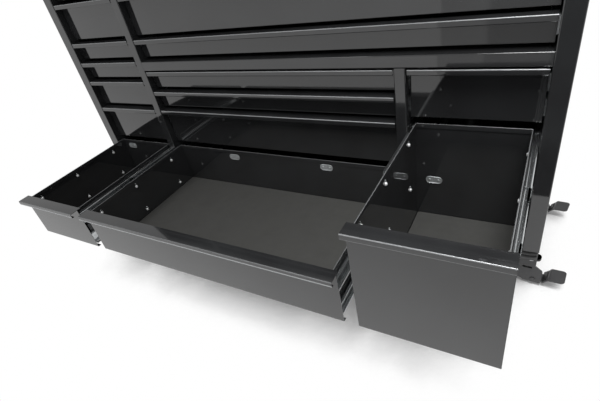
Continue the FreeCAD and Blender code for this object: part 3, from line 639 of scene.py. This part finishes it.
outer = [rolled_channel(solid, *OUTER_CHANNEL) for solid in solids_of("slide_cabinet_channels")]
outer_channels = new_piece("outer_channels", outer, strip, "carcass")
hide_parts("slide_cabinet_channels")
for label in LABELS:
    body = "slides_" + label
    middle = [rolled_channel(solid, *MIDDLE_CHANNEL) for solid in solids_of(body)]
    middle_channels = new_piece("middle_channels_" + label, middle, strip, body)
    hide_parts(body)

# Drawers: a folded front with its full-width pull, welded to a folded tray whose wall tops are
# hemmed inwards, all coated like the carcass. The slides' inner channels are riveted to the tray.
TRAY_INSET = 15.1 * MM
TRAY_FRONT = 42 * MM
TRAY_BACK = 528 * MM
TRAY_SHEET = 1.0 * MM
WALL_DROP = 5 * MM
HEM_SECTION = ((0.5, -13), (2.6, -13), (2.6, -0.5), (2.3, 0.4), (1.3, 0.9), (0.4, 0.6), (-0.1, -0.1),
               (-0.1, -0.7), (0.5, -0.7))
# Painted highlights: the bands, strengths and limits of the pale metal painted on pull bends, the nose and
# hem tops.
HIGHLIGHT_BAND = 2.6 * MM
HIGHLIGHT_FLAT_NORMAL = 0.995
HIGHLIGHT_TOP = 0.42
HIGHLIGHT_FOOT = 0.5
BOTTOM_ROW = 300 * MM
NOSE_HIGHLIGHT_BELOW = 500 * MM
NOSE_HIGHLIGHT_STRIP = 3.0 * MM
LOW_PULL_HIGHLIGHT_TOP = 0.2
NOSE_HIGHLIGHT = 0.9
HEM_HIGHLIGHT_BAND = 1.0 * MM
HEM_HIGHLIGHT_TILT = 0.5
HEM_HIGHLIGHT = 0.3


def tray_of(label):
    """The lowest and highest outside corner of a drawer's tray."""
    low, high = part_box("drawer_" + label)
    return (Vector((low.x + TRAY_INSET, low.y + TRAY_FRONT, low.z)),
            Vector((high.x - TRAY_INSET, low.y + TRAY_BACK, high.z - WALL_DROP)))


def wall_hem(label):
    """The hem along a tray's left, back and right wall, each corner with the ways that lead inwards."""
    low, high = tray_of(label)
    corners = ((low.x, low.y, 1, 0), (low.x, high.y, 1, -1),
               (high.x, high.y, -1, -1), (high.x, low.y, -1, 0))
    return skin([[Vector((x + u * MM * dx, y + u * MM * dy, high.z + v * MM)) for u, v in HEM_SECTION]
                 for x, y, dx, dy in corners])


def cut_nose(shell, front):
    """Cuts the pull's flat nose along its length, and gives the height of the cut."""
    cut = bmesh.new()
    cut.from_mesh(shell.data)
    nose = [face for face in cut.faces
            if face.normal.y < -HIGHLIGHT_FLAT_NORMAL and face.calc_center_median().y - front < HIGHLIGHT_BAND]
    edges = {edge for face in nose for edge in face.edges}
    corners = {corner for face in nose for corner in face.verts}
    height = min(corner.co.z for corner in corners) + NOSE_HIGHLIGHT_STRIP
    bmesh.ops.bisect_plane(cut, geom=[*nose, *edges, *corners], plane_co=(0, 0, height),
                           plane_no=(0, 0, 1))
    cut.to_mesh(shell.data)
    cut.free()
    return height


def paint_edge_highlights(shell, label):
    """Paints highlights onto the pull's upper bend and the hems' rounded tops: a pale metal that stands in
    for light glinting on these rounded edges. In the bottom row the pull's lower bend gets a painted
    highlight too. The lowest pulls get a fainter painted highlight at the top, and one on the nose up to a
    line."""
    low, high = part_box("drawer_" + label)
    foot_highlight = HIGHLIGHT_FOOT if low.z < BOTTOM_ROW else 0.0
    top_highlight, nose_highlight_line = HIGHLIGHT_TOP, low.z
    if high.z < NOSE_HIGHLIGHT_BELOW:
        top_highlight, nose_highlight_line = LOW_PULL_HIGHLIGHT_TOP, cut_nose(shell, low.y)
    painted_highlight = shell.data.attributes.new("painted_highlight", "FLOAT", "FACE")
    for face, entry in zip(shell.data.polygons, painted_highlight.data):
        if face.center.y - low.y < HIGHLIGHT_BAND:
            if face.center.z < nose_highlight_line and face.normal.y < 0:
                entry.value = NOSE_HIGHLIGHT
            elif max(abs(part) for part in face.normal) < HIGHLIGHT_FLAT_NORMAL:
                entry.value = top_highlight if face.center.z > high.z - HIGHLIGHT_BAND else foot_highlight
        elif face.center.z > high.z - WALL_DROP - HEM_HIGHLIGHT_BAND and face.normal.z > HEM_HIGHLIGHT_TILT:
            if face.center.y > low.y + TRAY_FRONT - HIGHLIGHT_BAND:
                entry.value = HEM_HIGHLIGHT


for label in LABELS:
    body = "drawer_" + label
    solids = solids_of(body)
    folded = [solids[0], wall_hem(label)]
    shell = new_piece("shell_" + label, folded, powder_coat, body)
    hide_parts(body)
    # Painted highlights on the pull's bends and the hem tops, carried by a face attribute of the shell.
    paint_edge_highlights(shell, label)
    inner = [rolled_channel(solid, *INNER_CHANNEL) for solid in solids[1:]]
    new_piece("inner_channels_" + label, inner, strip, body)

# Rivets: aluminium blind rivets through the tray's walls into the inner channels, three to a channel,
# with a smaller zinc-plated one above each that holds the channel's ball stop.
PANEL_REACH = 28 * MM
RIVET_BEHIND_PANEL = (48 * MM, 220 * MM, 422 * MM)
RIVET_RADIUS = 6.0 * MM
RIVET_HEIGHT = 6.0 * MM
STOP_RADIUS = 3.0 * MM
STOP_HEIGHT = 2.2 * MM
STOP_AWAY = (1 * MM, 10 * MM)
LOW_ROW = 28 * MM
HIGH_ROW_DROP = 35 * MM
TWO_ROWS_FROM = 145 * MM
TALL_FROM = 300 * MM
TALL_LOW_ROW = 146 * MM
ALUMINIUM_PALE = "f2f3f3"
ALUMINIUM_DULL = "dfe1e2"
ALUMINIUM_PATCH = 3 * MM
ALUMINIUM_ROUGHNESS = (0.32, 0.45)

# Tumbled aluminium: small pale heads that catch the light as white dots on the black walls.
aluminium_parts = new_finish("tumbled_aluminium", Metallic=0.3)
mottled(aluminium_parts, ALUMINIUM_PATCH, (ALUMINIUM_PALE, ALUMINIUM_DULL), ALUMINIUM_ROUGHNESS)
aluminium = aluminium_parts[0]


def rivet_rows(label):
    """The heights of a drawer's rows of rivets, one row for each channel at its flank."""
    low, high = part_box("drawer_" + label)
    height = high.z - low.z
    if height > TALL_FROM:
        return low.z + TALL_LOW_ROW, high.z - HIGH_ROW_DROP
    if height > TWO_ROWS_FROM:
        return low.z + LOW_ROW, high.z - HIGH_ROW_DROP
    return (low.z + LOW_ROW,)


def wall_spots(label):
    """Places on both side walls of a tray, and the way that each wall faces."""
    low, high = tray_of(label)
    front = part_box("drawer_" + label)[0].y + PANEL_REACH
    for x, way in ((low.x + TRAY_SHEET, Vector((1, 0, 0))), (high.x - TRAY_SHEET, Vector((-1, 0, 0)))):
        for behind in RIVET_BEHIND_PANEL:
            for z in rivet_rows(label):
                yield Vector((x, front + behind, z)), way


for label in LABELS:
    spots = list(wall_spots(label))
    stops = [(spot + Vector((0, STOP_AWAY[0], STOP_AWAY[1])), way) for spot, way in spots]
    set_heads("rivets_" + label, spots, RIVET_RADIUS, RIVET_HEIGHT, "drawer_" + label, aluminium)
    set_heads("stop_rivets_" + label, stops, STOP_RADIUS, STOP_HEIGHT, "drawer_" + label, strip)

# Stop plates: obround pressings in zinc-plated steel with a raised rim, riveted to the back walls of
# the deep trays, two across a centre tray and one near the left wall of the others.
PLATE_HALF = 13 * MM
PLATE_RINGS = ((12.0, 0.0), (12.0, 1.0), (11.5, 1.6), (10.4, 1.6), (9.8, 0.9), (5.0, 0.9))
PLATE_STEPS = 12
PLATE_RISE = 140 * MM
PLATE_BELOW_TOP = 26 * MM
PLATE_FROM_WALL = 54 * MM
PLATE_FROM_MIDDLE = 206 * MM
PLATE_OFF_MIDDLE = 18 * MM
PLATE_RIVET_RADIUS = 4.2 * MM
PLATE_RIVET_HEIGHT = 2.6 * MM


def obround(middle, radius, rise):
    """One loop of a plate that stands off a back wall by rise, towards the drawer's front."""
    loop = []
    for side in (1, -1):
        for i in range(PLATE_STEPS + 1):
            angle = math.pi * (i / PLATE_STEPS - 0.5) + (0 if side == 1 else math.pi)
            loop.append(middle + Vector((side * PLATE_HALF + radius * math.cos(angle), -rise,
                                         radius * math.sin(angle))))
    return loop


for label in LABELS:
    low, high = tray_of(label)
    if high.z - low.z < TWO_ROWS_FROM:
        continue
    wall = high.y - TRAY_SHEET
    z = min(low.z + PLATE_RISE, high.z - PLATE_BELOW_TOP)
    places = [low.x + PLATE_FROM_WALL]
    if label.startswith("centre"):
        centre_x = (low.x + high.x) / 2 + PLATE_OFF_MIDDLE
        places = [centre_x - PLATE_FROM_MIDDLE, centre_x + PLATE_FROM_MIDDLE]
    middles = [Vector((x, wall, z)) for x in places]
    plates = [skin([obround(middle, radius * MM, rise * MM) for radius, rise in PLATE_RINGS])
              for middle in middles]
    new_piece("stop_plates_" + label, plates, zinc, "drawer_" + label)
    floor_rise = PLATE_RINGS[-1][1] * MM
    ends = [(middle + Vector((side * PLATE_HALF, -floor_rise, 0)), Vector((0, -1, 0)))
            for middle in middles for side in (1, -1)]
    set_heads("plate_rivets_" + label, ends, PLATE_RIVET_RADIUS, PLATE_RIVET_HEIGHT, "drawer_" + label)

# Mats: cut with rounded corners from dark grey vinyl sheet with a fine matt grain, and laid loose on
# the tray floors.
MAT_GREY = "3b3b39"
MAT_DARK = "363634"
MAT_MOTTLE = 60 * MM
MAT_ROUGHNESS = (0.6, 0.8)
MAT_GRAIN = 1.6 * MM
MAT_GRAIN_DEPTH = 0.15 * MM
MAT_GAP = 2.5 * MM
MAT_FRONT_GAP = 1.5 * MM
MAT_RISE = 5 * MM
MAT_CORNER = 6 * MM
MAT_CORNER_STEPS = 4
MAT_RINGS = ((0.0, 0.0), (0.0, 2.0), (0.5, 2.5))

# Grained vinyl: a matt dark grey without a mirror, slightly mottled where it has been wiped. The
# embossed grain is drawn coarser than it is, so that it shows.
mat_parts = new_finish("matt_grained_vinyl_sheet", IOR=1.5)
place = mottled(mat_parts, MAT_MOTTLE, (MAT_GREY, MAT_DARK), MAT_ROUGHNESS)
grained(mat_parts, place, MAT_GRAIN, MAT_GRAIN_DEPTH)
mat = mat_parts[0]


def mat_loop(low, high, inset, z):
    """A mat's outline with rounded corners, drawn in by inset at one height."""
    loop = []
    radius = MAT_CORNER - inset
    for corner, (x, y) in enumerate(((high.x, high.y), (low.x, high.y), (low.x, low.y), (high.x, low.y))):
        dx = -1 if x == high.x else 1
        dy = -1 if y == high.y else 1
        for i in range(MAT_CORNER_STEPS + 1):
            angle = math.pi / 2 * (corner + i / MAT_CORNER_STEPS)
            loop.append(Vector((x + dx * MAT_CORNER + radius * math.cos(angle),
                                y + dy * MAT_CORNER + radius * math.sin(angle), z)))
    return loop


for label in LABELS:
    low, high = tray_of(label)
    mat_low = low + Vector((MAT_GAP, MAT_FRONT_GAP, MAT_RISE))
    mat_high = high - Vector((MAT_GAP, MAT_GAP, 0))
    loops = [mat_loop(mat_low, mat_high, inset * MM, mat_low.z + rise * MM) for inset, rise in MAT_RINGS]
    mat_piece = new_piece("mat_" + label, [skin(loops)], mat, "drawer_" + label)
    if "liner_" + label in frame["nodes"]:
        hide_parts("liner_" + label)

# Lock: a cylinder lock in the top rail, a die-cast body held by a nut from behind, whose plug turns
# the cam that bars the drawers. Both are plated with chrome.
CHROME_PALE = "d9dbdd"
CHROME_DULL = "c4c6c9"
CHROME_HAZE = 6 * MM
CHROME_ROUGHNESS = (0.08, 0.18)

# Polished chrome: a clear bright mirror, with a faint haze where keys and fingers touch it.
chrome_parts = new_finish("polished_chrome_plate", Metallic=1.0)
mottled(chrome_parts, CHROME_HAZE, (CHROME_PALE, CHROME_DULL), CHROME_ROUGHNESS)
for node in ("lock_body", "lock_plug"):
    dress(node, chrome_parts[0])

# Push handle: a steel tube gripped by two cast brackets, coated like the carcass, with moulded
# plugs in its ends and two screws through each bracket's foot.
PLUG_SECTION = ((-14.0, 11.8), (0.0, 11.8), (0.0, 14.0), (1.4, 14.0), (2.6, 13.2), (3.2, 11.5))
PLUG_STEPS = 40
BRACKET_SCREW_RISE = 27.5 * MM
BRACKET_SCREW_RADIUS = 5.0 * MM
BRACKET_SCREW_HEIGHT = 2.4 * MM
BRACKET_FOOT = 4 * MM

dress("push_handle", powder_coat)
dress("handle_brackets", powder_coat)
tube_low, tube_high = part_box("push_handle")
tube_middle = (tube_low + tube_high) / 2
plugs = []
for y, way in ((tube_low.y, -1), (tube_high.y, 1)):
    loops = []
    for along, radius in PLUG_SECTION:
        middle = Vector((tube_middle.x, y + way * along * MM, tube_middle.z))
        loops.append(upright_loop(middle, Vector((1, 0, 0)), radius, PLUG_STEPS))
    plugs.append(skin(loops))
new_piece("handle_plugs", plugs, nylon, "carcass")
foot_spots = []
wall_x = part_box("side_wall_right")[1].x
for points, _ in solids_of("handle_brackets"):
    low, high = span(points)
    for rise in (-BRACKET_SCREW_RISE, BRACKET_SCREW_RISE):
        spot = Vector((wall_x + BRACKET_FOOT, (low.y + high.y) / 2, tube_middle.z + rise))
        foot_spots.append((spot, Vector((1, 0, 0))))
set_heads("bracket_screws", foot_spots, BRACKET_SCREW_RADIUS, BRACKET_SCREW_HEIGHT, "carcass")

# Studio: a camera at the photograph's viewing angle, a pale floor under a white surround that is
# dimmer overhead and low in front, grey screens at the right that only show in the gloss, and two
# softboxes above the open drawers.
wall_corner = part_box("side_wall_left")[0]
CAMERA_PLACE = Vector((wall_corner.x + 1.77717, wall_corner.y - 1.08662, 1.15148))
CAMERA_YAW, CAMERA_PITCH, CAMERA_ROLL = (math.radians(a) for a in (-35.2965, -34.3124, -12.5007))
IMAGE_WIDTH = 600
FOCAL_PIXELS = 414.345
FILM_WIDTH = 36.0

scene = bpy.context.scene
ahead = Vector((math.sin(CAMERA_YAW) * math.cos(CAMERA_PITCH),
                math.cos(CAMERA_YAW) * math.cos(CAMERA_PITCH), math.sin(CAMERA_PITCH)))
level = Vector((math.cos(CAMERA_YAW), -math.sin(CAMERA_YAW), 0.0))
upright = level.cross(ahead)
right = level * math.cos(CAMERA_ROLL) + upright * math.sin(CAMERA_ROLL)
up = upright * math.cos(CAMERA_ROLL) - level * math.sin(CAMERA_ROLL)
view = bpy.data.cameras.new("view")
view.sensor_fit = "HORIZONTAL"
view.sensor_width = FILM_WIDTH
view.lens = FOCAL_PIXELS / IMAGE_WIDTH * FILM_WIDTH
camera = bpy.data.objects.new("view", view)
camera.matrix_world = Matrix.Translation(CAMERA_PLACE) @ Matrix((right, up, -ahead)).transposed().to_4x4()
scene.collection.objects.link(camera)
scene.camera = camera

FLOOR_HALF = 8.0
FLOOR_WHITE = "f4f4f4"
FLOOR_GREYER = "f0f0f0"
FLOOR_MOTTLE = 600 * MM
FLOOR_ROUGHNESS = (0.85, 0.95)
FLOOR_GLOW = 0.89
SHADE_REACH = 0.4
SHADE_FULL = 0.475
SHADE_NONE = 0.635
SHADE_GLOW = 0.05

# Painted floor: white to the camera and in the gloss, as an overexposed studio floor is. Close under
# the object, where little of the surround reaches it, its own paint shows, in soft shade.
floor_parts = new_finish("pale_studio_floor", IOR=1.3)
mottled(floor_parts, FLOOR_MOTTLE, (FLOOR_WHITE, FLOOR_GREYER), FLOOR_ROUGHNESS)
floor_finish, tree, shader = floor_parts
seen = add(tree, "ShaderNodeLightPath", {}).outputs
gloss = add(tree, "ShaderNodeMath", {0: seen["Is Glossy Ray"], 1: seen["Is Transmission Ray"]},
            operation="MAXIMUM")
gloss = add(tree, "ShaderNodeMath", {0: gloss.outputs[0], 1: FLOOR_GLOW}, operation="MULTIPLY")
open_sky = add(tree, "ShaderNodeAmbientOcclusion", {"Distance": SHADE_REACH}).outputs["AO"]
clear = add(tree, "ShaderNodeMapRange", {"Value": open_sky, "From Min": SHADE_FULL, "From Max": SHADE_NONE,
                                         "To Min": SHADE_GLOW, "To Max": 1.0}).outputs["Result"]
plain = add(tree, "ShaderNodeMath", {0: seen["Is Camera Ray"], 1: clear}, operation="MULTIPLY")
share = add(tree, "ShaderNodeMath", {0: gloss.outputs[0], 1: plain.outputs[0]}, operation="MAXIMUM")
white = add(tree, "ShaderNodeEmission", {"Color": (1.0, 1.0, 1.0, 1.0), "Strength": 1.0})
blend = add(tree, "ShaderNodeMixShader", {0: share.outputs[0], 1: shader.outputs["BSDF"],
                                          2: white.outputs["Emission"]})
tree.links.new(blend.outputs["Shader"], tree.nodes["Material Output"].inputs["Surface"])
floor_mesh = bpy.data.meshes.new("floor")
floor_corners = [(a * FLOOR_HALF, b * FLOOR_HALF, 0.0) for a, b in ((-1, -1), (1, -1), (1, 1), (-1, 1))]
floor_mesh.from_pydata(floor_corners, [], [(0, 1, 2, 3)])
floor_mesh.materials.append(floor_finish)
floor = bpy.data.objects.new("floor", floor_mesh)
scene.collection.objects.link(floor)

# Screen cloth: matt dark grey, as a solid screen and as two thinner ones that let most light through.
# Each has its name, how much it covers, the height of its foot, and its corners on the floor.
SCREEN_MOTTLE = 300 * MM
SCREEN_ROUGHNESS = (0.9, 1.0)
SCREEN_COLOURS = ("3a3a3b", "444445")
SCREEN_HEAD = 1.1
SCREENS = (("dark_screen", 1.0, 0.0, ((0.8235, -0.60), (1.5, -0.60), (1.5, -1.9), (0.8235, -1.9))),
           ("gauze_screen", 0.30, 0.3, ((0.56, -0.90), (0.82, -0.90), (0.82, -1.9), (0.50, -1.9))),
           ("sheer_screen", 0.16, 0.3, ((0.36, -0.90), (0.56, -0.90), (0.43, -1.9), (0.2, -1.9))))
for name, cover, foot, corners in SCREENS:
    screen_parts = new_finish(name + "_cloth", IOR=1.3, Alpha=cover)
    mottled(screen_parts, SCREEN_MOTTLE, SCREEN_COLOURS, SCREEN_ROUGHNESS)
    loops = [[Vector((x, y, z)) for x, y in corners] for z in (foot, SCREEN_HEAD)]
    points, faces = skin(loops)
    screen_mesh = bpy.data.meshes.new(name)
    screen_mesh.from_pydata(points, [], faces)
    screen_mesh.materials.append(screen_parts[0])
    screen = bpy.data.objects.new(name, screen_mesh)
    screen.visible_camera = False
    screen.visible_diffuse = False
    screen.visible_shadow = False
    scene.collection.objects.link(screen)

# The surround is white to the camera. What lights the object and mirrors in it is brightest low down,
# and dusky low in front. Each softbox has its name, its watts, its place and what it points at.
SURROUND_LEVEL = 0.95
SURROUND_TOP = 0.56
SURROUND_DUSK = 0.4
DUSK_AHEAD = (-0.99, -0.85)
DUSK_LOW = (0.1, 0.45)
SOFTBOX_SIZE = (0.9, 0.7)
SOFTBOX_SPREAD = math.radians(70)
SOFTBOXES = (("softbox_right", 9.0, (0.95, -0.7, 2.4), (0.75, -0.3, 0.3)),
             ("softbox_left", 3.0, (-0.75, -0.8, 2.4), (-0.75, -0.3, 0.3)))
world = bpy.data.worlds.new("white_surround")
world.use_nodes = True
tree = world.node_tree
background = tree.nodes["Background"]
background.inputs["Color"].default_value = (1.0, 1.0, 1.0, 1.0)
around = add(tree, "ShaderNodeTexCoord", {}).outputs["Generated"]
way = add(tree, "ShaderNodeSeparateXYZ", {"Vector": around}).outputs
in_front, low_down = (
    add(tree, "ShaderNodeMapRange", {"Value": way[axis], "From Min": least, "From Max": most,
                                     "To Min": 1.0, "To Max": 0.0}).outputs["Result"]
    for axis, (least, most) in (("Y", DUSK_AHEAD), ("Z", DUSK_LOW)))
dusk = add(tree, "ShaderNodeMath", {0: in_front, 1: low_down}, operation="MULTIPLY").outputs[0]
plain = add(tree, "ShaderNodeMapRange", {"Value": low_down, "To Min": SURROUND_TOP,
                                         "To Max": SURROUND_LEVEL}).outputs["Result"]
bright = add(tree, "ShaderNodeMapRange", {"Value": dusk, "To Min": plain,
                                          "To Max": SURROUND_DUSK}).outputs["Result"]
seen = add(tree, "ShaderNodeLightPath", {}).outputs
strength = add(tree, "ShaderNodeMath", {0: bright, 1: seen["Is Camera Ray"]}, operation="MAXIMUM")
tree.links.new(strength.outputs[0], background.inputs["Strength"])
scene.world = world

for name, watts, place, aim in SOFTBOXES:
    lamp = bpy.data.lights.new(name, "AREA")
    lamp.shape = "RECTANGLE"
    lamp.size, lamp.size_y = SOFTBOX_SIZE
    lamp.spread = SOFTBOX_SPREAD
    lamp.energy = watts
    softbox = bpy.data.objects.new(name, lamp)
    softbox.location = place
    softbox.rotation_euler = (Vector(aim) - Vector(place)).to_track_quat("-Z", "Y").to_euler()
    scene.collection.objects.link(softbox)

scene.view_settings.view_transform = "Standard"
